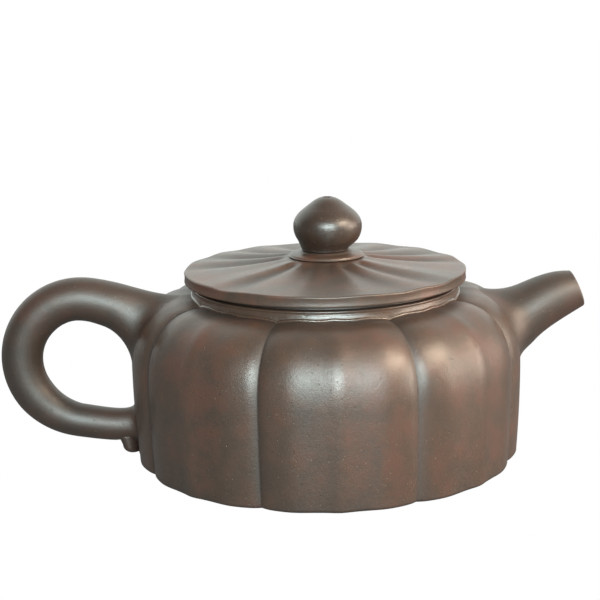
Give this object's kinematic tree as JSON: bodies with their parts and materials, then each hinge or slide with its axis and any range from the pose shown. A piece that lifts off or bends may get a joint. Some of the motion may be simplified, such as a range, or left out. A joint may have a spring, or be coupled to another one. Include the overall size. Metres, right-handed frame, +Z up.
{
  "type": "teapot",
  "caption": "Low unglazed clay teapot with a lobed, ribbed body, short upturned spout, round ear handle and flat fluted lid with a bud knob.",
  "frame": {"origin": "on the body's upright axis, on the plane that the pot stands on", "axes": "+Z up along the body's axis, +X towards the spout, -X towards the handle"},
  "size_m": [0.1687, 0.1128, 0.0747],
  "materials": {
    "outer_clay": "unglazed purple-brown clay, burnished to a soft satin",
    "handle_clay": "unglazed purple-brown clay, polished by handling",
    "lid_clay": "unglazed purple-brown clay, satin, a little paler with steam haze",
    "raw_clay": "unglazed purple-brown clay, matt, as fired"
  },
  "bodies": {
    "pot": {"body_wall": "outer_clay", "base_slab": "raw_clay", "neck_band": "outer_clay", "mouth_ring": "outer_clay", "spout": "outer_clay", "strainer": "raw_clay", "handle": "handle_clay", "handle_tail": "handle_clay"},
    "lid": {"lid_plate": "lid_clay", "lid_flange": "raw_clay", "knob_seat": "lid_clay", "knob": "lid_clay"}
  },
  "joints": [
    {"name": "lid_lift", "type": "slide", "parent": "pot", "child": "lid", "axis": [0, 0, 1], "range_m": [0, 0.06]}
  ]
}
